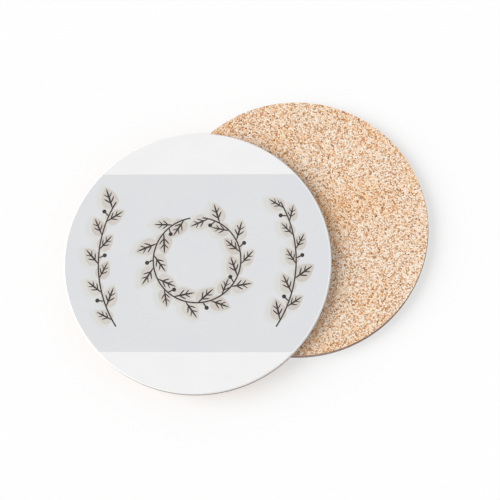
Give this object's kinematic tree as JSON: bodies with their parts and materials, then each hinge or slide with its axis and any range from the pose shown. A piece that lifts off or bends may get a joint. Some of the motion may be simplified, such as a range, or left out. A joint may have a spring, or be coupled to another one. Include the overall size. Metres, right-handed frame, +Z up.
{
  "type": "drink coaster",
  "caption": "Round cork-backed drink coasters with a gloss printed face; the upper one lies face up on the lower one, which lies cork side up, and lifts off.",
  "frame": {"origin": "centre of the lower coaster's face, on the surface that it lies on", "axes": "+Z up, +X to the right along the printed band, +Y away from the viewer; the upper coaster lies towards -X and -Y"},
  "size_m": [0.1301, 0.1088, 0.0082],
  "materials": {
    "gloss_coat": "high gloss white polymer coat",
    "printed_band": "pale grey dye print under the same gloss",
    "hardboard": "cut side of fine brown hardboard",
    "adhesive_film": "clear adhesive film",
    "cork": "fine agglomerated cork, unsealed"
  },
  "bodies": {
    "lower_coaster": {"lower_gloss_coat": "gloss_coat", "lower_printed_band": "printed_band", "lower_board": "hardboard", "lower_adhesive_film": "adhesive_film", "lower_cork_pad": "cork"},
    "upper_coaster": {"upper_cork_pad": "cork", "upper_adhesive_film": "adhesive_film", "upper_board": "hardboard", "upper_printed_band": "printed_band", "upper_gloss_coat": "gloss_coat"}
  },
  "joints": [
    {"name": "upper_coaster_lift", "type": "slide", "parent": "lower_coaster", "child": "upper_coaster", "axis": [0, 0, 1], "range_m": [0, 0.03]}
  ]
}
